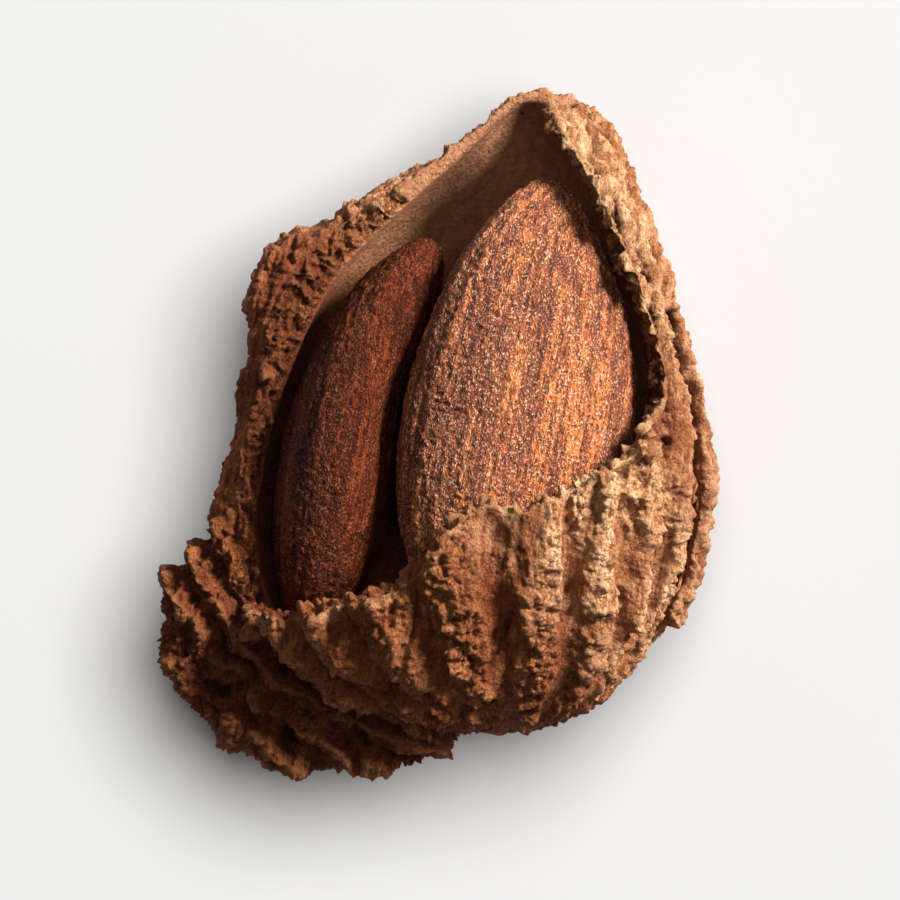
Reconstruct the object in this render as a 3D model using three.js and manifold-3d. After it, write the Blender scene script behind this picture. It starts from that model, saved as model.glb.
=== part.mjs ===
// A twin-kernel almond in its broken shell, lying on its back. Millimetres.
// +Y runs along the shell from its stem end to its pointed tip, +Z is up, and the origin is the middle of
// the small flat spot that the shell rests on.
// The shell is two valves grown together at the suture, hollowed by one smooth cavity. Most of the front
// valve has broken away, which leaves a mouth with both kernels in view.
import * as THREE from "three";
import { mergeVertices } from "three/addons/utils/BufferGeometryUtils.js";
import Module from "manifold-3d";

const wasm = await Module();
wasm.setup();

// ---- Driving dimensions ----

const SUTURE_Z = 8.5; // height of the seam between the valves, where the shell is widest
const FULLNESS = 2.35; // exponent of the valves' cross-section: 2 is an ellipse

// Each body of the shell is a dome over the suture and a bowl under it: heights from the suture, how far its
// lengthwise lines swing to the right at the stem end, in radians, and its facets round the long axis and
// along it.
const FRONT_VALVE = { rise: 9, drop: 4, fullness: FULLNESS, swing: 0.36, around: 120, along: 30 };
const BACK_VALVE = { rise: 1.9, drop: 8.75, fullness: FULLNESS, swing: 0, around: 48, along: 50 };
const CAVITY = { rise: 7.3, drop: 6.6, fullness: 2.2, swing: 0, around: 40, along: 30 };

// The plan of a body evens out from its outline to a plainer curve between these shares of its radius.
const EVENING_OUT = [0.5, 0.96];

// Lengthwise ridges, spaced evenly in angle round the long axis. They rise from the suture between two sines
// of that angle, and fade out towards the ends between two shares of the half-length.
const FRONT_RIDGES = { height: 0.48, count: 20, phase: 2.4 };
const BACK_RIDGES = { height: 0.14, count: 12, phase: 0 };
const RIDGE_RISE = [0.1, 0.45];
const RIDGE_FADE = [0.7, 0.97];

const BREAK_Z = 7.9; // height of the break's plane over the origin
const BREAK_TILT = 0.16; // radians that the break leans in, towards the cavity
const MOUTH_STEPS = { flap: 18, wall: 44 }; // straight pieces in the curved edges of the mouth
const BEYOND = { width: 80, height: 26 }; // a reach past the shell's outside, for the tools that cut it

const FISSURE = { width: 0.8, depth: 2.6, z: 10, steps: 20 }; // the open seam on the right

// ---- Outlines seen from above, anticlockwise from the right-hand side ----

const BACK_OUTLINE = [
  [13.2, 0.3], [12.4, 2.6], [10.9, 6.2], [9.2, 9.8], [7, 13.4], [5, 16.6], [3.3, 18.5], [1.3, 19.2],
  [-0.8, 19.2], [-3, 16.8], [-5.4, 14], [-8.5, 11.6], [-10.3, 9.6], [-12.5, 8.3], [-13.4, 4.6], [-12.6, 2],
  [-12.9, 0], [-12.5, -2.4], [-12.9, -4.6], [-12.8, -8.8], [-14.2, -9.9], [-14.4, -13.2], [-13.2, -15.6],
  [-11.3, -17.7], [-8.6, -18.9], [-6, -19.6], [-3.4, -18.9], [-1, -18.3], [0.8, -17.8], [2.6, -15.7],
  [6.3, -14.7], [9.3, -13.1], [11.2, -9.8], [11.9, -8.3], [13.1, -7.2], [13.4, -3.4],
];
const FRONT_OUTLINE = [
  [12.3, 0], [11.3, 3], [10.2, 5.8], [7.9, 10.6], [5, 15.8], [3.4, 17.7], [1.4, 18.5], [-0.8, 18.3],
  [-4.2, 14.8], [-9.2, 10], [-11.8, 6], [-12.2, 0], [-11.8, -6], [-10.2, -11], [-8.4, -13.6], [-5.6, -15.1],
  [-2, -15.9], [1.4, -16.2], [3.6, -15.2], [6.3, -14.7], [9.3, -13], [11.1, -9.8], [12.2, -6],
];
const CAVITY_OUTLINE = [
  [10.4, 1], [8.4, 7], [5, 13], [1.6, 17.4], [0.2, 18.5], [-1.1, 18.4], [-3.5, 15], [-6.5, 10.9], [-9, 7],
  [-10.3, 2], [-10.7, -3], [-10.2, -8], [-8, -12], [-3, -13.8], [3, -13.4], [8, -10.6], [10.4, -5],
];
// The mouth's own edge: up the flap on the right, outside the shell on the left, then along the front wall.
const MOUTH_FLAP = [[8.6, 3.8], [8.1, 6], [6, 9.7], [3.8, 12.8], [1.4, 15.8], [-0.6, 18]];
const MOUTH_OUTSIDE = [[1.7, 18.4], [2.3, 20.5], [-16, 20.5], [-16, -9.4]];
const MOUTH_WALL = [
  [-13.6, -9.5], [-11.4, -10.6], [-8.7, -11.5], [-5.5, -9.7], [-3.3, -8.4], [-1.8, -5.1], [0, -3.1],
  [1.2, -3.5], [2.6, -2.7], [4.2, -1.8], [6.2, -0.1], [7.3, 1.1],
];
// The open seam follows the front valve's margin down the right-hand side.
const FISSURE_PATH = [[9.2, 8.6], [10.9, 5], [12, 1.6], [12.6, -2.2], [12.4, -5.4], [11.8, -8.2]];

// Each kernel's own frame has its tip at +Y, its width along X and its thickness along Z. Shape values are
// shares of the half-length, half-width or half-thickness.
const KERNEL_FACETS = { around: 36, along: 24 };
const TIP_START = 0.55;
const LEFT_KERNEL = {
  length: 22, width: 9.4, thickness: 6.9, taper: 0.05, baseSwell: 0.06, pinch: 0.05, bow: 0.015,
  dent: { depth: 0.32, at: 0.12, spread: 0.36 },
  position: [-6.6, -0.9, 8.3], roll: 1.42, yaw: 0,
};
const RIGHT_KERNEL = {
  length: 25, width: 12.6, thickness: 7, taper: 0.19, baseSwell: 0.12, pinch: 0.15, bow: 0,
  dent: { depth: 0, at: 0, spread: 1 },
  position: [2.25, 2.1, 10.95], roll: 0.1, yaw: 0.085,
};

// ---- Shapes ----

const { lerp, smoothstep } = THREE.MathUtils;
const FULL_TURN = 2 * Math.PI;

// A closed curve through an outline's points, as a function that gives its radius at an angle.
function radiusOf(outline) {
  const curve = new THREE.CatmullRomCurve3(
    outline.map(([x, y]) => new THREE.Vector3(x, y, 0)),
    true,
    "centripetal",
  );
  const steps = 720; // half a degree each
  const radii = new Float64Array(steps);
  const points = curve.getPoints(4 * steps);
  for (let i = 0; i < steps; i++) {
    const angle = (i / steps) * FULL_TURN;
    const ray = new THREE.Vector3(Math.cos(angle), Math.sin(angle), 0);
    let best = -Infinity;
    for (const p of points) {
      const aligned = p.dot(ray) / p.length();
      if (aligned <= best) continue;
      best = aligned;
      radii[i] = p.length();
    }
  }
  return (angle) => {
    const at = THREE.MathUtils.euclideanModulo(angle / FULL_TURN, 1) * steps;
    const low = Math.floor(at) % steps;
    return lerp(radii[low], radii[(low + 1) % steps], at - Math.floor(at));
  };
}

// The same outline with its notches averaged away, for the middle of a valve.
function smoothed(radius, reach = 0.6, samples = 12) {
  return (angle) => {
    let sum = 0;
    for (let i = -samples; i <= samples; i++) sum += radius(angle + (i / samples) * reach);
    return sum / (2 * samples + 1);
  };
}

const onlyPositions = (geometry) => {
  geometry.deleteAttribute("normal");
  geometry.deleteAttribute("uv");
  return mergeVertices(geometry, 1e-4);
};

// A superellipsoid whose plan is the outline at the suture and evens out towards its top and bottom.
// Its facets run lengthwise, and relief(turn, along) raises it along its normals, where turn is the angle
// round the long axis and along goes from -1 at the stem end to 1 at the tip.
function domed(outline, { rise, drop, fullness, swing, around, along }, relief) {
  const edge = radiusOf(outline);
  const core = smoothed(edge);
  const geometry = onlyPositions(new THREE.SphereGeometry(1, around, along));
  const position = geometry.getAttribute("position");
  const power = 2 / fullness;
  const reliefs = [];
  for (let i = 0; i < position.count; i++) {
    const [x, y, z] = [position.getX(i), position.getY(i), position.getZ(i)];
    const angle = Math.atan2(y, x) + (swing * (1 - y)) / 2;
    const out = Math.min(Math.hypot(x, y), 1) ** power;
    const radius = lerp(core(angle), edge(angle), smoothstep(out, ...EVENING_OUT)) * out;
    const height = Math.sign(z) * Math.abs(z) ** power * (z > 0 ? rise : drop);
    position.setXYZ(i, radius * Math.cos(angle), radius * Math.sin(angle), SUTURE_Z + height);
    reliefs.push(relief ? relief(Math.atan2(z, x), y) : 0);
  }
  geometry.computeVertexNormals();
  const normal = geometry.getAttribute("normal");
  for (let i = 0; i < position.count; i++) {
    const p = new THREE.Vector3().fromBufferAttribute(position, i);
    p.addScaledVector(new THREE.Vector3().fromBufferAttribute(normal, i), reliefs[i]);
    position.setXYZ(i, p.x, p.y, p.z);
  }
  return solidOf(geometry);
}

function ridges({ height, count, phase }) {
  return (turn, along) => {
    const offSuture = smoothstep(Math.abs(Math.sin(turn)), ...RIDGE_RISE);
    const offEnds = 1 - smoothstep(Math.abs(along), ...RIDGE_FADE);
    return height * Math.cos(count * turn - phase) * offSuture * offEnds;
  };
}

function solidOf(geometry) {
  const merged = onlyPositions(geometry);
  const vertProperties = new Float32Array(merged.getAttribute("position").array);
  const triVerts = new Uint32Array(merged.index.array);
  return new wasm.Manifold(new wasm.Mesh({ numProp: 3, vertProperties, triVerts }));
}

function geometryOf(solid) {
  const mesh = solid.getMesh();
  return new THREE.BufferGeometry()
    .setAttribute("position", new THREE.BufferAttribute(mesh.vertProperties, 3))
    .setIndex(new THREE.BufferAttribute(mesh.triVerts, 1));
}

// The space that the broken-away part of the front valve left, from the break upwards.
function mouth() {
  const flat = (points) => points.map(([x, y]) => new THREE.Vector2(x, y));
  const curved = (points, steps) => new THREE.SplineCurve(flat(points)).getPoints(steps);
  const flap = curved(MOUTH_FLAP, MOUTH_STEPS.flap);
  const wall = curved(MOUTH_WALL, MOUTH_STEPS.wall);
  const shape = new THREE.Shape([...flap, ...flat(MOUTH_OUTSIDE), ...wall]);
  const prism = new THREE.ExtrudeGeometry(shape, { depth: BEYOND.height, bevelEnabled: false });
  return solidOf(prism.rotateY(BREAK_TILT).translate(0, 0, BREAK_Z));
}

// A slot of a diamond section, swept along the seam.
function fissure() {
  const section = new THREE.Shape()
    .moveTo(0, -FISSURE.width / 2)
    .lineTo(FISSURE.depth / 2, 0)
    .lineTo(0, FISSURE.width / 2)
    .lineTo(-FISSURE.depth / 2, 0);
  const path = new THREE.CatmullRomCurve3(FISSURE_PATH.map(([x, y]) => new THREE.Vector3(x, y, FISSURE.z)));
  return solidOf(new THREE.ExtrudeGeometry(section, { steps: FISSURE.steps, extrudePath: path }));
}

function shell() {
  const front = domed(FRONT_OUTLINE, FRONT_VALVE, ridges(FRONT_RIDGES));
  const back = domed(BACK_OUTLINE, BACK_VALVE, ridges(BACK_RIDGES));
  const cavity = domed(CAVITY_OUTLINE, CAVITY);
  const ground = new THREE.BoxGeometry(BEYOND.width, BEYOND.width, BEYOND.height);
  const underground = solidOf(ground.translate(0, 0, -BEYOND.height / 2));
  return front.add(back).subtract(cavity).subtract(mouth()).subtract(fissure()).subtract(underground);
}

// A kernel: pointed at +Y, round at -Y and flattened. Its upper half bows towards +Z, and the +Z face is
// dented where its twin lay against it.
function kernel({ length, width, thickness, taper, baseSwell, pinch, bow, dent }) {
  const sphere = new THREE.SphereGeometry(1, KERNEL_FACETS.around, KERNEL_FACETS.along);
  const geometry = onlyPositions(sphere);
  const position = geometry.getAttribute("position");
  for (let i = 0; i < position.count; i++) {
    const [x, y, z] = [position.getX(i), position.getY(i), position.getZ(i)];
    const tip = 1 - pinch * smoothstep(y, TIP_START, 1);
    const across = x * (1 - taper * y) * tip;
    const through = z * (1 - baseSwell * y) * tip;
    const dented = z > 0 ? dent.depth * (1 - x * x) * Math.exp(-(((y - dent.at) / dent.spread) ** 2)) : 0;
    const bowed = bow * Math.max(0, (y * length) / 2 + 1) ** 2;
    position.setXYZ(i, (across * width) / 2, (y * length) / 2, ((through - dented) * thickness) / 2 + bowed);
  }
  return geometry;
}

// ---- The part ----

const finish = (color, roughness) => new THREE.MeshStandardMaterial({ color, roughness, metalness: 0 });

function placed(name, geometry, material, { position = [0, 0, 0], roll = 0, yaw = 0 } = {}) {
  const mesh = new THREE.Mesh(geometry, material);
  mesh.name = name;
  mesh.position.set(...position);
  mesh.rotation.set(0, roll, yaw, "ZYX");
  return mesh;
}

const almond = new THREE.Group();
almond.add(
  placed("shell", geometryOf(shell()), finish(0xb98a5a, 0.85)),
  placed("right_kernel", kernel(RIGHT_KERNEL), finish(0x9a5a2c, 0.6), RIGHT_KERNEL),
  placed("left_kernel", kernel(LEFT_KERNEL), finish(0x7d4524, 0.6), LEFT_KERNEL),
);

export default almond;
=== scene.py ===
"""A twin-kernel almond lying in its broken shell, on a pale floor.

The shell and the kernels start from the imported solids. Each is remeshed finely, its facets are smoothed
away, and its real relief is raised on it: ridges, pits and fibres on the corky skin, a crumbling sponge
where the shell broke, a smooth lining, and wrinkled, grainy skins on the kernels. Shape work is done in
millimetres and turned into metres at the end.
"""

import math

import bpy
import numpy as np
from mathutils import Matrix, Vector
from mathutils.bvhtree import BVHTree


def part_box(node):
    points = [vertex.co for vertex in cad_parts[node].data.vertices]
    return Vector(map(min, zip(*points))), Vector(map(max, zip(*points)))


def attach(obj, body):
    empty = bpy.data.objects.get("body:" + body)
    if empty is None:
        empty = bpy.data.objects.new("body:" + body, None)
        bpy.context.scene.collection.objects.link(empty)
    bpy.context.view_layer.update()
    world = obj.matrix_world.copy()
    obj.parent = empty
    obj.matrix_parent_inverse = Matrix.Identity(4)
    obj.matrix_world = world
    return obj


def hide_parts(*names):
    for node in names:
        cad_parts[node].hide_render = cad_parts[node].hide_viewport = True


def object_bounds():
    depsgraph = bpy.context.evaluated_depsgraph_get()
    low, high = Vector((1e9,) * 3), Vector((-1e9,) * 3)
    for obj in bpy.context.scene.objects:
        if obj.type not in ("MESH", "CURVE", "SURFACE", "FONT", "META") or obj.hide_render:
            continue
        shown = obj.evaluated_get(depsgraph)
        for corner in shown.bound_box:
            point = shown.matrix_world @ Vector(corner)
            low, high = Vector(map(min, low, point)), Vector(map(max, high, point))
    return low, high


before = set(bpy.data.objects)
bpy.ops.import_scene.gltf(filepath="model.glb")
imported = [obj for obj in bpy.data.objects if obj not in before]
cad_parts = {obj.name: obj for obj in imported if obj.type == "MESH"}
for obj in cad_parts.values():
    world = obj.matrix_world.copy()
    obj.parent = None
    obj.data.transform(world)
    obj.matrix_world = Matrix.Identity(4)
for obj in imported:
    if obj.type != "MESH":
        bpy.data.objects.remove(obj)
cad_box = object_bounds()

MM = 0.001

# ---- Driving values, in millimetres unless a name says otherwise ----

SHELL_VOXEL = 0.105
KERNEL_VOXEL = 0.08
SHELL_SMOOTHING = 36  # passes, enough to lose the solid's facets
KERNEL_SMOOTHING = 60

# The solid's own measures: where its valves meet, how they are domed and ridged, and how its break leans.
SUTURE_Z = 8.5
FRONT_RISE = 9.0
FRONT_SWING = 0.36
FULLNESS = 2.35
RIDGE_COUNT = 20
RIDGE_PHASE = 2.4
RIDGE_WANDER = 0.06  # radians that a crest strays from the solid's
BREAK_TILT = 0.16

IMAGE_WIDTH = 48.6  # what the camera takes in, across the object
CAMERA_HEIGHT = 500
CAMERA_ROLL = math.radians(11.8)
CAMERA_OFF_CENTRE = (-0.49, -0.78)
SENSOR_WIDTH = 36

# The open seam down the right-hand side, seen from above, with its half-width and depth.
SEAM_PATH = [(9.2, 8.6), (10.9, 5), (11.9, 1.6), (12.45, -2.2), (12.3, -5.4), (11.6, -8.6)]
SEAM_HALF_WIDTH = 0.3
SEAM_DEPTH = 1.5

# Hollows torn in the seam along the right-hand flap: x, y, radius and depth.
SEAM_HOLLOWS = [
    (3.4, 17.0, 0.5, 0.7), (5.4, 13.4, 0.6, 0.9), (6.4, 11.3, 0.9, 1.1), (8.5, 8.0, 0.9, 1.1),
    (9.9, 6.0, 0.8, 1.1), (10.1, 4.7, 0.6, 1.0), (10.9, 3.3, 0.6, 1.0),
]
HOLLOW_SLIMNESS = 0.55  # a hollow's width as a share of its length

# A face of the solid counts as broken if it is this nearly square to the break's lean, or this nearly
# along it, and far enough above where the valves meet.
BREAK_SQUARE = 0.9999
BREAK_ALONG = 0.004
BREAK_ABOVE = SUTURE_Z + 0.4

# How the shell narrows towards its ends, which its fibres follow: its widest place, how far from there it
# would close, and the least that is left of the width's square.
WIDEST_Y = -3
CLOSING_LENGTH = 25
LEAST_NARROWING = 0.12

# The level of each kind of noise that leaves the surface where it is. Above it the relief stands up, and
# below it the relief sinks.
LUMPY_LEVEL = 0.3
GRANULES_LEVEL = 0.5
RIDGED_LEVEL = 0.6
CORDS_LEVEL = 0.66
SHREDS_LEVEL = 0.65

# How strong each kind of relief is on each part of the shell: millimetres for one unit of its noise.
RELIEF = {
    "flap": {"strands": 0.7, "bold": 0.7, "crumbs": 0.45, "grain": 0.2, "gouges": -0.75},
    "strip": {"strands": 0.8, "crumbs": 0.6, "grit": 0.3, "gouges": -0.5},
    "flange": {
        "layers": 0.4, "bold": 0.6, "crumbs": 0.5, "grain": 0.4, "shreds": 0.7, "grit": 0.3, "gouges": -0.8,
    },
    "back": {
        "cords": 0.55, "swell": 0.25, "bold": 0.6, "crumbs": 0.4, "grain": 0.14, "threads": 0.08,
        "gouges": -0.6,
    },
    "broken": {"swell": 0.15, "bold": 0.8, "crumbs": 0.8, "grain": 0.25, "grit": 0.35, "gouges": -0.4},
    "lining": {"swell": 0.08, "ripples": 0.03, "threads": 0.03},
    "wall_lumps": {"bold": 1.0, "crumbs": 0.5, "grain": 0.25},
}
WALL_GRIT = 0.4
WALL_GOUGES = 0.6
WALL_THREADS = 0.07
WALL_CORDS = 0.3
WALL_SWELL = 0.25
RIDGE_RISE = 0.2
RIDGE_FLATTENING = 0.14  # taken off a ridge's very top
LINING_LIFT = 0.018
LIP_HEIGHT = 0.3
LAYER_SPACING = 1.7
LAYER_CENTRE = (-1, -3)

# How far each part of the shell's surface is shaken in every direction, which makes it crumble.
LOOSENESS = {"broken": 0.34, "flap": 0.2, "flange": 0.3, "wall": 0.14, "strip": 0.15}
EDGE_CALM = 0.65  # the share of relief left out right at the edge of the break

# The same for a kernel.
KERNEL_RELIEF = {"flutes": 0.11, "veins": -0.15, "wrinkles": 0.06, "grains": 0.1, "lumps": 0.06}

# The lights: name, azimuth and elevation in degrees, distance and size in metres, power in watts.
KEY = ("key", 34, 34, 0.5, 0.15, 6.6)
TOP = ("top", 60, 80, 0.6, 0.3, 0.5)
FLOOR_WASH = ("floor_wash", 45, 70, 0.6, 0.5, 5.3)
WORLD_STRENGTH = 0.1
FLOOR_SIZE = 6  # metres

# Colour ramps, as stops of (position, colour).
FIBROUS = [
    (0.38, (0.13, 0.034, 0.01)), (0.47, (0.38, 0.135, 0.05)), (0.54, (0.6, 0.27, 0.12)),
    (0.63, (0.8, 0.46, 0.25)),
]
GRANULAR = [
    (0.39, (0.22, 0.065, 0.018)), (0.47, (0.6, 0.27, 0.1)), (0.54, (0.84, 0.49, 0.24)),
    (0.62, (0.97, 0.7, 0.45)),
]
SPONGE = [
    (0.4, (0.03, 0.008, 0.002)), (0.48, (0.16, 0.048, 0.012)), (0.57, (0.42, 0.16, 0.042)),
    (0.63, (0.8, 0.42, 0.15)),
]
PALE = [(0.38, (0.27, 0.1, 0.035)), (0.48, (0.58, 0.29, 0.125)), (0.6, (0.84, 0.52, 0.27))]
INNER = [(0.3, (0.4, 0.155, 0.07)), (0.7, (0.6, 0.27, 0.13))]
KERNEL_SKIN = [(0.38, (0.12, 0.018, 0.005)), (0.48, (0.36, 0.075, 0.015)), (0.58, (0.7, 0.2, 0.042))]

# Single colours.
BLOTCH = (0.44, 0.15, 0.045)
# A painted highlight where the shell's relief stands up, and painted shade where it sinks.
RAISED_HIGHLIGHT = (0.9, 0.54, 0.28)
SUNKEN_SHADE = (0.05, 0.012, 0.003)
# Painted shade in the creases between grains on the ridges.
CREASE_SHADE = (0.2, 0.06, 0.016)
# Painted shade in the finest pits, and a painted highlight on the tops of the finest bumps.
PORE_SHADE = (0.14, 0.04, 0.011)
PORE_HIGHLIGHT = (1.0, 0.7, 0.44)
# Painted shade, multiplied in towards the lower left and on the low flap and the seam strip.
SHADE_TINT = (0.46, 0.24, 0.13)
# Painted shade in the kernels' sunk veins and fine wrinkles.
KERNEL_GROOVE_SHADE = (0.1, 0.022, 0.007)
# Pale grains on the kernels' skin: partly dust and partly painted glints.
KERNEL_DUST_AND_GLINT = (0.98, 0.58, 0.36)
FLOOR_TONES = (0.69, 0.687, 0.68), (0.71, 0.706, 0.7)
DAYLIGHT = (1, 0.99, 0.98, 1)


# ---- Noise: everything random comes from these seeded lattices ----

def lattice(seed, size=48):
    return np.random.default_rng(seed).random((size, size, size), dtype=np.float32) * 2 - 1


def noise(points, seed):
    """Smooth value noise from -1 to 1, one feature per unit."""
    table = lattice(seed)
    size = table.shape[0]
    cell = np.floor(points).astype(np.int64)
    f = (points - cell).astype(np.float32)
    f = f * f * (3 - 2 * f)
    total = 0
    for dx in (0, 1):
        for dy in (0, 1):
            for dz in (0, 1):
                weight = (
                    (f[:, 0] if dx else 1 - f[:, 0])
                    * (f[:, 1] if dy else 1 - f[:, 1])
                    * (f[:, 2] if dz else 1 - f[:, 2])
                )
                i, j, k = ((cell + (dx, dy, dz)) % size).T
                total = total + weight * table[i, j, k]
    return total


def fractal(points, seed, octaves=3, gain=0.5):
    total, height, reach = 0, 1.0, 0.0
    for octave in range(octaves):
        total = total + height * noise(points * 2.03**octave + 7.1 * octave, seed + octave)
        reach += height
        height *= gain
    return total / reach


def ridged(points, seed, octaves=2):
    """Sharp crests: 1 on a crest, falling to 0."""
    return 1 - lumpy(points, seed, octaves)


def lumpy(points, seed, octaves=3, gain=0.5):
    """Rounded lumps with sharp creases between them: 0 in a crease, up to 1 on a lump."""
    total, height, reach = 0, 1.0, 0.0
    for octave in range(octaves):
        total = total + height * np.abs(noise(points * 2.03**octave + 3.7 * octave, seed + octave))
        reach += height
        height *= gain
    return total / reach


def granules(points, seed):
    """Packed rounded grains, one per unit: 1 at a grain's middle, falling to about 0 between grains."""
    jitter = [lattice(seed + axis) for axis in range(3)]
    size = jitter[0].shape[0]
    cell = np.floor(points).astype(np.int64)
    nearest = np.full(len(points), 9.0, np.float32)
    for dx in (-1, 0, 1):
        for dy in (-1, 0, 1):
            for dz in (-1, 0, 1):
                near = cell + (dx, dy, dz)
                i, j, k = (near % size).T
                spot = near + 0.5 + 0.42 * np.stack([table[i, j, k] for table in jitter], axis=1)
                nearest = np.minimum(nearest, ((points - spot) ** 2).sum(axis=1))
    return np.clip(1 - 1.25 * nearest, 0, 1)


def three_fractals(points, seeds, octaves, gain=0.5):
    """Three noises side by side, for moving points about."""
    return np.stack([fractal(points, seed, octaves, gain) for seed in seeds], axis=1)


def distance_to_path(x, y, path):
    """Distance from each point to the path, seen from above."""
    nearest = np.full(len(x), np.inf)
    for (ax, ay), (bx, by) in zip(path, path[1:]):
        dx, dy = bx - ax, by - ay
        t = np.clip(((x - ax) * dx + (y - ay) * dy) / (dx * dx + dy * dy), 0, 1)
        nearest = np.minimum(nearest, np.hypot(x - ax - t * dx, y - ay - t * dy))
    return nearest


def ramp(value, low, high):
    """0 below low and 1 above high, with a smooth rise between."""
    t = np.clip((value - low) / (high - low), 0, 1)
    return t * t * (3 - 2 * t)


# ---- Meshes as arrays ----

class Surface:
    """A triangle mesh held as arrays, in millimetres."""

    def __init__(self, mesh):
        count = len(mesh.vertices)
        self.points = np.empty(count * 3, np.float32)
        mesh.vertices.foreach_get("co", self.points)
        self.points = self.points.reshape(-1, 3).astype(np.float64)
        edges = np.empty(len(mesh.edges) * 2, np.int32)
        mesh.edges.foreach_get("vertices", edges)
        self.edges = edges.reshape(-1, 2)
        self.degree = np.bincount(self.edges.ravel(), minlength=count)
        mesh.calc_loop_triangles()
        faces = np.empty(len(mesh.loop_triangles) * 3, np.int32)
        mesh.loop_triangles.foreach_get("vertices", faces)
        self.faces = faces.reshape(-1, 3)

    def normals(self):
        a, b, c = (self.points[self.faces[:, k]] for k in range(3))
        across = np.cross(b - a, c - a)
        total = np.stack(
            [
                np.bincount(self.faces.ravel(), np.repeat(across[:, axis], 3), len(self.points))
                for axis in range(3)
            ],
            axis=1,
        )
        return total / np.maximum(np.linalg.norm(total, axis=1, keepdims=True), 1e-12)

    def averaged(self, values, passes):
        """Values spread over neighbouring vertices."""
        first, second = self.edges.T
        values = values if values.ndim == 2 else values[:, None]
        for _ in range(passes):
            spread = np.stack(
                [
                    np.bincount(first, column[second], len(column))
                    + np.bincount(second, column[first], len(column))
                    for column in values.T
                ],
                axis=1,
            )
            values = 0.5 * values + 0.5 * spread / self.degree[:, None]
        return values if values.shape[1] > 1 else values[:, 0]

    def smooth(self, passes):
        self.points = self.averaged(self.points, passes)


def remeshed(node, voxel):
    """The CAD node's solid as an even mesh, in millimetres."""
    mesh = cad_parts[node].data.copy()
    corners = np.empty(len(mesh.vertices) * 3, np.float32)
    mesh.vertices.foreach_get("co", corners)
    mesh.vertices.foreach_set("co", corners / MM)
    weld = bpy.data.objects.new("work", mesh)
    bpy.context.scene.collection.objects.link(weld)
    weld.modifiers.new("join", "WELD").merge_threshold = 0.001
    grid = weld.modifiers.new("even", "REMESH")
    grid.mode = "VOXEL"
    grid.voxel_size = voxel
    graph = bpy.context.evaluated_depsgraph_get()
    even = bpy.data.meshes.new_from_object(weld.evaluated_get(graph))
    bpy.data.objects.remove(weld)
    bpy.data.meshes.remove(mesh)
    return even


def piece_from(name, mesh, surface, attributes, material):
    """The finished piece: the mesh with the surface's points, in metres, riding in its node's place."""
    mesh.vertices.foreach_set("co", (surface.points * MM).astype(np.float32).ravel())
    for key, values in attributes.items():
        layer = mesh.attributes.new(key, "FLOAT", "POINT")
        layer.data.foreach_set("value", values.astype(np.float32))
    mesh.shade_smooth()
    mesh.materials.clear()
    mesh.materials.append(material)
    mesh.update()
    piece = bpy.data.objects.new(f"{name}_skin", mesh)
    bpy.context.scene.collection.objects.link(piece)
    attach(piece, "root")
    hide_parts(name)
    return piece


# ---- Which part of the shell is what ----

def node_arrays(node):
    """A search tree over the CAD node's faces, with their centres and normals."""
    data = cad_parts[node].data
    corners = [v.co / MM for v in data.vertices]
    tree = BVHTree.FromPolygons(corners, [tuple(p.vertices) for p in data.polygons])
    centres = np.array([p.center for p in data.polygons]) / MM
    normals = np.array([p.normal for p in data.polygons])
    return tree, centres, normals


def shell_regions(surface):
    """How far each vertex is broken face (1) or not (0), and lining (1) or not (0).

    A face of the solid is broken if it lies square to the break's lean or straight along it, and lining
    if it looks at the long axis."""
    tree, centres, normals = node_arrays("shell")
    low, high = (Vector(corner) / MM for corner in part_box("shell"))
    lean = np.array([math.sin(BREAK_TILT), 0, math.cos(BREAK_TILT)])
    squareness = np.abs(normals @ lean)
    above = centres[:, 2] > BREAK_ABOVE
    broken = above & ((squareness < BREAK_ALONG) | (squareness > BREAK_SQUARE))
    on_axis = np.zeros_like(centres)
    on_axis[:, 1] = np.clip(centres[:, 1], 0.5 * low.y, 0.7 * high.y)
    on_axis[:, 2] = SUTURE_Z
    outward = ((centres - on_axis) * normals).sum(axis=1)
    lining = ~broken & (outward < 0)
    owner = np.array([tree.find_nearest(Vector(p))[2] for p in surface.points])
    regions = np.stack([broken[owner], lining[owner]], axis=1).astype(float)
    return surface.averaged(regions, 5).T


# ---- The shell ----

def ridge_crests(p):
    """1 along the crests of the front valve's ridges and -1 in its grooves, close to the solid's."""
    x, y, z = p.T
    rise = np.clip((z - SUTURE_Z) / FRONT_RISE, 0, 0.99) ** (FULLNESS / 2)
    out = np.sqrt(1 - rise**2)
    angle = np.arctan2(y, x)
    # The valve's swing depends on the angle itself, so a few rounds settle it.
    unswung = angle
    for _ in range(4):
        unswung = angle - FRONT_SWING * (1 - out * np.sin(unswung)) / 2
    turn = np.arctan2(rise, out * np.cos(unswung)) + RIDGE_WANDER * noise(p / 4.5, seed=5)
    return np.cos(RIDGE_COUNT * turn - RIDGE_PHASE)


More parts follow.
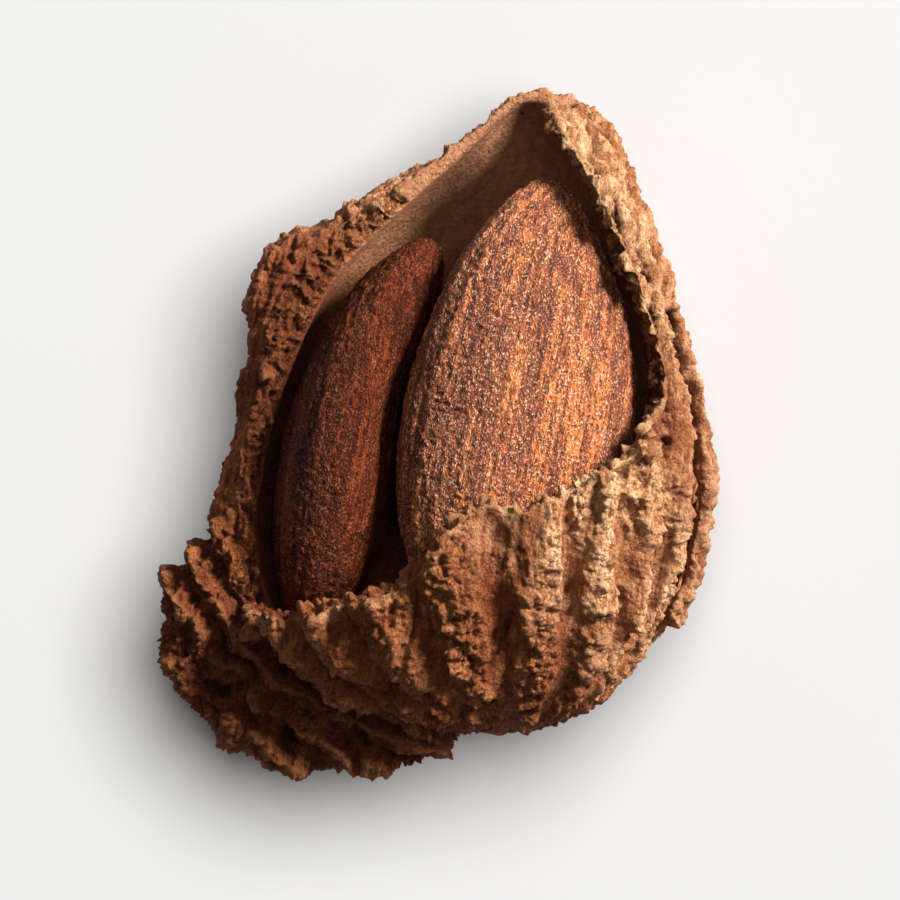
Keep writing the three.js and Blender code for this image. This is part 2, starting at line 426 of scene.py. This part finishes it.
def shell_noises(p, ring, threads_along, seam_along):
    """Every noise that the shell's relief is made of, at each point.

    threads_along and seam_along are the points turned and stretched to follow the shell's length and its
    seam. Ring is the distance from the middle of the stem end's layers."""
    x, y, z = p.T
    warp = three_fractals(p / 0.5, (45, 46, 47), octaves=2)
    turn = np.arctan2(y - LAYER_CENTRE[1], x - LAYER_CENTRE[0])
    around = np.stack([ring / 0.55, turn * 4, z / 0.6], axis=1)
    return {
        "bold": lumpy(p / 1.5, seed=21, octaves=4, gain=0.6) - LUMPY_LEVEL,
        "crumbs": lumpy(p / 0.75, seed=31, octaves=3, gain=0.65) - LUMPY_LEVEL,
        "grain": lumpy(p / 0.34, seed=41, octaves=2, gain=0.6) - LUMPY_LEVEL,
        "grit": granules(p / 0.62 + 0.35 * warp, seed=43) - GRANULES_LEVEL,
        "gouges": ramp(fractal(p / (1.3, 2.0, 1.3), seed=51, octaves=3, gain=0.6), 0.1, 0.55),
        "threads": ridged(threads_along / (0.42, 5.0, 0.42), seed=61) - RIDGED_LEVEL,
        "cords": ridged(threads_along / (2.0, 9.0, 2.0), seed=71) - CORDS_LEVEL,
        "strands": ridged(seam_along / (0.7, 5.0, 0.9), seed=81, octaves=3) - RIDGED_LEVEL,
        "layers": np.sin(ring * 2 * math.pi / LAYER_SPACING),
        "shreds": ridged(around, seed=105, octaves=3) - SHREDS_LEVEL,
        "ripples": fractal(p / 1.2, seed=111, octaves=2),
    }


def relief(part, noises):
    return sum(height * noises[name] for name, height in RELIEF[part].items())


def wall_relief(noises, crest, on_crest, rim):
    """The ridged wall's height. Most kinds of relief are stronger on the crests than in the grooves."""
    def in_grooves(share):
        return share + (1 - share) * on_crest

    plateau = RIDGE_RISE * ramp(crest, -0.9, 0.1) - RIDGE_FLATTENING * ramp(crest, 0.4, 1)
    deep_cords = ramp(noises["cords"] + CORDS_LEVEL, 0.8, 0.95)
    return (
        plateau * (1 - rim) + WALL_SWELL * noises["swell"]
        + WALL_THREADS * (1 - on_crest) * noises["threads"]
        + in_grooves(0.25) * relief("wall_lumps", noises)
        + in_grooves(0.1) * WALL_GRIT * noises["grit"]
        - in_grooves(0.3) * WALL_GOUGES * noises["gouges"]
        - WALL_CORDS * deep_cords * (1 - rim)
    )


def flap_relief(noises, p, outside):
    """The flap's height, with the torn hollows sunk in it."""
    x, y, _ = p.T
    height = relief("flap", noises)
    lopsided = 1 + 0.6 * noise(p / 0.8, seed=91)
    for hx, hy, radius, depth in SEAM_HOLLOWS:
        away = np.hypot((x - hx) * lopsided, HOLLOW_SLIMNESS * (y - hy) * lopsided) / radius
        height = height - depth * np.exp(-(away**2)) * outside
    return height


def shell_surface(surface):
    """Raises the shell's relief and returns what its material needs to know about each vertex."""
    broken, lining = shell_regions(surface)
    surface.smooth(SHELL_SMOOTHING)
    p = surface.points
    n = surface.normals()
    x, y, z = p.T

    # The parts of the shell and the ways it faces, each from 0 to 1.
    skin = np.clip(1 - broken - lining, 0, 1)
    resting = 1 - ramp(z, 0.05, 0.8)
    front = ramp(z, SUTURE_Z + 0.8, SUTURE_Z + 3) * skin
    flap = front * ramp(x + 0.62 * y, 9.8, 11.2)
    wall = front - flap
    flange = skin * ramp(-0.55 * x - y, 12, 15.5) * ramp(SUTURE_Z + 3.5 - z, 0, 1.5)
    back = np.clip(skin - front - flange, 0, 1)
    strip = skin * ramp(x, 11.5, 12.3) * ramp(z, 5.5, 7.5)
    edge = 4 * broken * (1 - broken)
    uphill = ramp(n[:, 2], 0.2, 0.6)
    outside = ramp(n[:, 2], 0.05, 0.25)

    # The fibres close in with the shell towards its ends, and on the right they run along its seam.
    narrowing = np.sqrt(np.clip(1 - ((y - WIDEST_Y) / CLOSING_LENGTH) ** 2, LEAST_NARROWING, 1))
    threads_along = np.stack([x / narrowing, y, (z - SUTURE_Z) / narrowing], axis=1)
    seam_along = np.stack([0.85 * x + 0.53 * y, 0.53 * x - 0.85 * y, z], axis=1)
    swell = fractal(p / 5.0, seed=11)
    ring = np.hypot(x - LAYER_CENTRE[0], y - LAYER_CENTRE[1])
    ring = ring + 0.9 * swell + 0.5 * fractal(p / 1.6, seed=101, octaves=2)
    noises = {"swell": swell, **shell_noises(p, ring, threads_along, seam_along)}

    crest = ridge_crests(p)
    on_crest = ramp(crest + 1.1 * swell + 0.5 * noises["bold"], -0.8, 0.6)
    rim = np.clip(2.2 * surface.averaged(broken, 45) + 0.5 * swell, 0, 1) * wall
    off_seam = distance_to_path(x + 0.35 * noise(p / 1.1, seed=95), y, SEAM_PATH) / SEAM_HALF_WIDTH
    seam = np.exp(-(off_seam**4)) * uphill * skin
    lip = np.exp(-((off_seam - 2.0) ** 2)) * uphill * skin

    calm = 1 - EDGE_CALM * edge
    height = (
        wall * wall_relief(noises, crest, on_crest, rim) + flap * flap_relief(noises, p, outside)
        + flange * relief("flange", noises) + back * relief("back", noises)
        + broken * relief("broken", noises) + lining * (relief("lining", noises) + LINING_LIFT)
    ) * calm * (1 - strip)
    height = height + strip * relief("strip", noises) + LIP_HEIGHT * lip - SEAM_DEPTH * seam
    height = height * (1 - resting)
    parts = {"broken": broken, "flap": flap, "flange": flange, "wall": wall, "strip": strip}
    looseness = sum(LOOSENESS[name] * share for name, share in parts.items()) * calm * (1 - resting)
    loose = three_fractals(p / 0.7, (131, 141, 151), octaves=3, gain=0.6)
    surface.points = p + n * height[:, None] + loose * looseness[:, None]
    surface.points[:, 2] = np.maximum(surface.points[:, 2], 0)

    # Painted shade: the shell darkens and reddens towards the lower left, less on the rim, and on the low
    # flap and the seam strip.
    lower_left = ramp(-(0.7 * x + 0.71 * y) / 14 + 0.12 * swell, -0.2, 0.3)
    return {
        "broken": np.clip(broken * ramp(13.0 - z, -1.0, 1.0) + 0.75 * flange, 0, 1),
        "lining": lining,
        "pale": np.clip(broken * ramp(z, 11.5, 13.5) + 0.65 * flap * ramp(y, 4, 10) + 0.8 * rim, 0, 1),
        "depth": height,
        "crest": wall * on_crest,
        "painted_shade": np.maximum(
            lower_left * (1 - 0.6 * rim),
            np.clip(0.7 * flap * (1 - ramp(y, 3, 9)) + 0.45 * strip, 0, 1),
        ),
    }


def make_shell():
    mesh = remeshed("shell", SHELL_VOXEL)
    surface = Surface(mesh)
    attributes = shell_surface(surface)
    return piece_from("shell", mesh, surface, attributes, shell_material())


# ---- The kernels ----

def make_kernel(name, seed, skin_darkening_and_shade):
    """The kernel, with its own noises from the seed. Its skin is darkened by that share of its red light:
    partly a darker skin, partly painted shade.
    """
    mesh = remeshed(name, KERNEL_VOXEL)
    surface = Surface(mesh)
    surface.smooth(KERNEL_SMOOTHING)
    p = surface.points
    n = surface.normals()
    low, high = p.min(axis=0), p.max(axis=0)
    middle = (low + high) / 2
    # The wrinkles close in towards the kernel's ends.
    along = (p[:, 1] - middle[1]) / ((high[1] - low[1]) / 2)
    closing = np.sqrt(np.clip(1 - along**2, 0.1, 1))
    local = (p - middle) * np.stack([1 / closing, np.ones_like(along), 1 / closing], axis=1)
    warp = 0.2 * fractal(p / 3.5, seed)
    local = local + warp[:, None] * (1, 0, 1)
    veins = ridged(local / (0.8, 11, 0.8), seed + 20, octaves=2)
    noises = {
        "flutes": fractal(local / (1.9, 14, 1.9), seed + 10, octaves=2),
        "veins": veins - RIDGED_LEVEL,
        "wrinkles": fractal(local / (0.4, 2.2, 0.4), seed + 30, octaves=2),
        "grains": fractal(p / 0.24, seed + 40, octaves=2),
        "lumps": fractal(p / 2.4, seed + 50, octaves=2),
    }
    height = sum(KERNEL_RELIEF[kind] * values for kind, values in noises.items())
    surface.points = p + n * height[:, None]
    attributes = {"vein": ramp(veins, 0.55, 0.95)}
    return piece_from(name, mesh, surface, attributes, kernel_material(name, skin_darkening_and_shade))


# ---- Materials ----

class Nodes:
    """Short ways to add and join a material's nodes."""

    def __init__(self, name):
        self.material = bpy.data.materials.new(name)
        self.material.use_nodes = True
        self.tree = self.material.node_tree
        self.shader = self.tree.nodes["Principled BSDF"]
        self.place = self.tree.nodes.new("ShaderNodeTexCoord").outputs["Object"]

    def join(self, output, socket):
        self.tree.links.new(output, socket)

    def attribute(self, name):
        node = self.tree.nodes.new("ShaderNodeAttribute")
        node.attribute_name = name
        return node.outputs["Fac"]

    def texture(self, size, stretch=(1, 1, 1), detail=4, roughness=0.55):
        """Noise with features of that size in millimetres, drawn out along an axis by stretch."""
        mapping = self.tree.nodes.new("ShaderNodeMapping")
        mapping.inputs["Scale"].default_value = [1 / (size * MM * s) for s in stretch]
        self.join(self.place, mapping.inputs["Vector"])
        node = self.tree.nodes.new("ShaderNodeTexNoise")
        node.inputs["Scale"].default_value = 1
        node.inputs["Detail"].default_value = detail
        node.inputs["Roughness"].default_value = roughness
        self.join(mapping.outputs["Vector"], node.inputs["Vector"])
        return node.outputs["Fac"]

    def between(self, value, low, high, start=0.0, end=1.0):
        """The value mapped straight from low..high to start..end, and no further."""
        node = self.tree.nodes.new("ShaderNodeMapRange")
        for socket, number in zip(node.inputs[1:5], (low, high, start, end)):
            socket.default_value = number
        self.join(value, node.inputs[0])
        return node.outputs[0]

    def maths(self, kind, first, second):
        node = self.tree.nodes.new("ShaderNodeMath")
        node.operation = kind
        for socket, value in zip(node.inputs, (first, second)):
            if isinstance(value, (int, float)):
                socket.default_value = value
            else:
                self.join(value, socket)
        return node.outputs[0]

    def colours(self, value, *stops):
        """A colour ramp with stops of (position, colour)."""
        node = self.tree.nodes.new("ShaderNodeValToRGB")
        elements = node.color_ramp.elements
        while len(elements) < len(stops):
            elements.new(0.5)
        for element, (position, colour) in zip(elements, stops):
            element.position = position
            element.color = (*colour, 1)
        self.join(value, node.inputs["Fac"])
        return node.outputs["Color"]

    def mix(self, amount, first, second, blend="MIX"):
        """From the first colour to the second by amount."""
        node = self.tree.nodes.new("ShaderNodeMix")
        node.data_type = "RGBA"
        node.blend_type = blend
        factor, colour_a, colour_b = node.inputs[0], node.inputs[6], node.inputs[7]
        for socket, value in zip((factor, colour_a, colour_b), (amount, first, second)):
            if isinstance(value, tuple):
                socket.default_value = (*value, 1)
            elif isinstance(value, (int, float)):
                socket.default_value = value
            else:
                self.join(value, socket)
        return node.outputs[2]

    def pebbles(self, size):
        """Packed grains of that size in millimetres: 0 at a grain's middle and about 0.8 between grains."""
        mapping = self.tree.nodes.new("ShaderNodeMapping")
        mapping.inputs["Scale"].default_value = [1 / (size * MM)] * 3
        self.join(self.place, mapping.inputs["Vector"])
        node = self.tree.nodes.new("ShaderNodeTexVoronoi")
        node.inputs["Scale"].default_value = 1
        self.join(mapping.outputs["Vector"], node.inputs["Vector"])
        return node.outputs["Distance"]

    def bump(self, height, distance, strength=1.0, under=None):
        """Fine relief up to distance millimetres high, on top of the bump under it."""
        node = self.tree.nodes.new("ShaderNodeBump")
        node.inputs["Strength"].default_value = strength
        node.inputs["Distance"].default_value = distance * MM
        self.join(height, node.inputs["Height"])
        if under is not None:
            self.join(under, node.inputs["Normal"])
        return node.outputs["Normal"]


def shell_material():
    m = Nodes("corky_shell")
    blotches = m.texture(2.2, stretch=(1, 1.6, 1), detail=5, roughness=0.6)
    streaks = m.texture(0.4, stretch=(1, 9, 1), detail=4)
    specks = m.texture(0.22, stretch=(1, 1.3, 1), detail=4, roughness=0.7)
    pores = m.texture(0.1, stretch=(1, 1.4, 1), detail=3, roughness=0.65)
    lumps = m.texture(0.26, stretch=(1, 1.6, 1), detail=4, roughness=0.7)
    pebbles = m.pebbles(0.24)
    depth = m.attribute("depth")
    broad = m.maths("MULTIPLY", blotches, 0.35)
    mottle = m.maths("ADD", broad, m.maths("MULTIPLY", streaks, 0.65))
    dusting = m.maths("ADD", broad, m.maths("MULTIPLY", specks, 0.65))
    # Fibrous in the grooves and granular on the ridges, then the pale rim and flap, then the spongy break.
    colour = m.mix(m.attribute("crest"), m.colours(mottle, *FIBROUS), m.colours(dusting, *GRANULAR))
    colour = m.mix(m.attribute("pale"), colour, m.colours(mottle, *PALE))
    colour = m.mix(m.attribute("broken"), colour, m.colours(dusting, *SPONGE))
    colour = m.mix(m.between(blotches, 0.52, 0.4, start=0, end=0.6), colour, BLOTCH)
    # A painted highlight where the relief stands up and painted shade where it sinks.
    colour = m.mix(m.between(depth, 0.15, 0.55, start=0, end=0.5), colour, RAISED_HIGHLIGHT)
    colour = m.mix(m.between(depth, -0.16, -0.75, start=0, end=0.92), colour, SUNKEN_SHADE)
    # Painted shade in the creases between grains on the ridges.
    crease_shade = m.maths("MULTIPLY", m.between(pebbles, 0.45, 0.85, start=0, end=0.75), m.attribute("crest"))
    colour = m.mix(crease_shade, colour, CREASE_SHADE)
    # Painted shade in the finest pits and a painted highlight on the tops of the finest bumps.
    colour = m.mix(m.between(pores, 0.47, 0.36, start=0, end=0.5), colour, PORE_SHADE)
    colour = m.mix(m.between(pores, 0.58, 0.68, start=0, end=0.4), colour, PORE_HIGHLIGHT)
    colour = m.mix(m.attribute("lining"), colour, m.colours(streaks, *INNER))
    # Painted shade multiplied in towards the lower left, on the low flap and on the seam strip.
    colour = m.mix(m.maths("MULTIPLY", m.attribute("painted_shade"), 0.9), colour, SHADE_TINT, "MULTIPLY")
    m.join(colour, m.shader.inputs["Base Color"])
    m.join(m.between(specks, 0.3, 0.7, start=0.75, end=0.95), m.shader.inputs["Roughness"])
    m.shader.inputs["Specular IOR Level"].default_value = 0.25
    coarse = m.bump(lumps, distance=0.28)
    grains = m.bump(m.between(pebbles, 0, 1, start=1, end=0), distance=0.1, under=coarse)
    fine = m.bump(pores, distance=0.14, under=grains)
    m.join(fine, m.shader.inputs["Normal"])
    return m.material


def kernel_material(name, skin_darkening_and_shade):
    m = Nodes(f"{name}_brown")
    blotches = m.texture(2.6, stretch=(1, 3.0, 1), detail=4)
    streaks = m.texture(0.36, stretch=(1, 26, 1), detail=5, roughness=0.65)
    dashes = m.texture(0.13, stretch=(1, 6, 1), detail=3)
    grains = m.texture(0.105, stretch=(1, 1.5, 1), detail=2, roughness=0.7)
    # The darkening, partly a darker skin and partly painted shade, takes more green and blue than red.
    remaining = 1 - skin_darkening_and_shade, 1 - 1.18 * skin_darkening_and_shade, 1 - 1.28 * skin_darkening_and_shade

    def dimmed(colour):
        return tuple(share * channel for share, channel in zip(remaining, colour))

    tone = m.maths("ADD", m.maths("MULTIPLY", streaks, 0.75), m.maths("MULTIPLY", blotches, 0.25))
    colour = m.colours(tone, *[(position, dimmed(stop)) for position, stop in KERNEL_SKIN])
    # Painted shade in the sunk veins and in the low parts of the fine wrinkles.
    colour = m.mix(m.between(m.attribute("vein"), 0, 1, start=0, end=0.6), colour, dimmed(KERNEL_GROOVE_SHADE))
    colour = m.mix(m.between(dashes, 0.53, 0.41, start=0, end=0.85), colour, dimmed(KERNEL_GROOVE_SHADE))
    # Pale grains, partly dust and partly painted glints, more on the lighter streaks.
    dust_and_glints = m.maths(
        "MULTIPLY", m.between(grains, 0.55, 0.64), m.between(tone, 0.4, 0.55, start=0.3, end=0.85)
    )
    colour = m.mix(dust_and_glints, colour, dimmed(KERNEL_DUST_AND_GLINT))
    m.join(colour, m.shader.inputs["Base Color"])
    m.join(m.between(grains, 0.4, 0.62, start=0.8, end=0.36), m.shader.inputs["Roughness"])
    m.shader.inputs["Specular IOR Level"].default_value = 0.4 - 0.35 * skin_darkening_and_shade
    wrinkle = m.bump(dashes, distance=0.12, strength=0.9)
    grain = m.bump(grains, distance=0.2, under=wrinkle)
    m.join(grain, m.shader.inputs["Normal"])
    return m.material


def floor_material():
    m = Nodes("pale_floor")
    clouds = m.texture(60, detail=2)
    m.join(m.mix(clouds, *FLOOR_TONES), m.shader.inputs["Base Color"])
    m.join(m.between(clouds, 0.3, 0.7, start=0.8, end=0.9), m.shader.inputs["Roughness"])
    m.shader.inputs["Specular IOR Level"].default_value = 0.1
    return m.material


# ---- The stage ----

def make_camera():
    """The camera, looking straight down from far off."""
    low, high = (Vector(corner) for corner in cad_box)
    middle = (low + high) / 2
    data = bpy.data.cameras.new("camera")
    data.sensor_width = SENSOR_WIDTH
    data.lens = SENSOR_WIDTH * CAMERA_HEIGHT / IMAGE_WIDTH
    data.clip_start, data.clip_end = 0.01, 10
    camera = bpy.data.objects.new("camera", data)
    right, up = CAMERA_OFF_CENTRE
    camera.location = (middle.x + right * MM, middle.y + up * MM, middle.z + CAMERA_HEIGHT * MM)
    camera.rotation_euler = (0, 0, CAMERA_ROLL)
    bpy.context.scene.collection.objects.link(camera)
    bpy.context.scene.camera = camera


def make_light(name, azimuth, elevation, distance, size, power, lit):
    """A disc of light aimed at the object, which lights only the objects in lit.

    Azimuth is in degrees anticlockwise from the image's right."""
    data = bpy.data.lights.new(name, "AREA")
    data.shape = "DISK"
    data.size = size
    data.energy = power
    light = bpy.data.objects.new(name, data)
    turn, rise = math.radians(azimuth) + CAMERA_ROLL, math.radians(elevation)
    toward = Vector((math.cos(turn) * math.cos(rise), math.sin(turn) * math.cos(rise), math.sin(rise)))
    light.location = toward * distance
    light.rotation_euler = toward.to_track_quat("Z", "Y").to_euler()
    bpy.context.scene.collection.objects.link(light)
    receivers = bpy.data.collections.new(f"{name}_receivers")
    for each in lit:
        receivers.objects.link(each)
    light.light_linking.receiver_collection = receivers


def make_stage(pieces):
    """The floor and the lights. Each light falls on the almond's pieces alone or on the floor alone."""
    bpy.ops.mesh.primitive_plane_add(size=FLOOR_SIZE)
    floor = bpy.context.object
    floor.name = "floor"
    floor.data.materials.append(floor_material())
    world = bpy.data.worlds.new("studio")
    world.use_nodes = True
    background = world.node_tree.nodes["Background"]
    background.inputs["Color"].default_value = DAYLIGHT
    background.inputs["Strength"].default_value = WORLD_STRENGTH
    bpy.context.scene.world = world
    make_light(*KEY, lit=pieces)
    make_light(*TOP, lit=pieces)
    make_light(*FLOOR_WASH, lit=[floor])
    bpy.context.scene.view_settings.view_transform = "Standard"


make_camera()
shell = make_shell()
right_kernel = make_kernel("right_kernel", seed=201, skin_darkening_and_shade=0.0)
# The left kernel's skin is darkened, partly a darker skin and partly painted shade.
left_kernel = make_kernel("left_kernel", seed=301, skin_darkening_and_shade=0.7)
make_stage([shell, right_kernel, left_kernel])
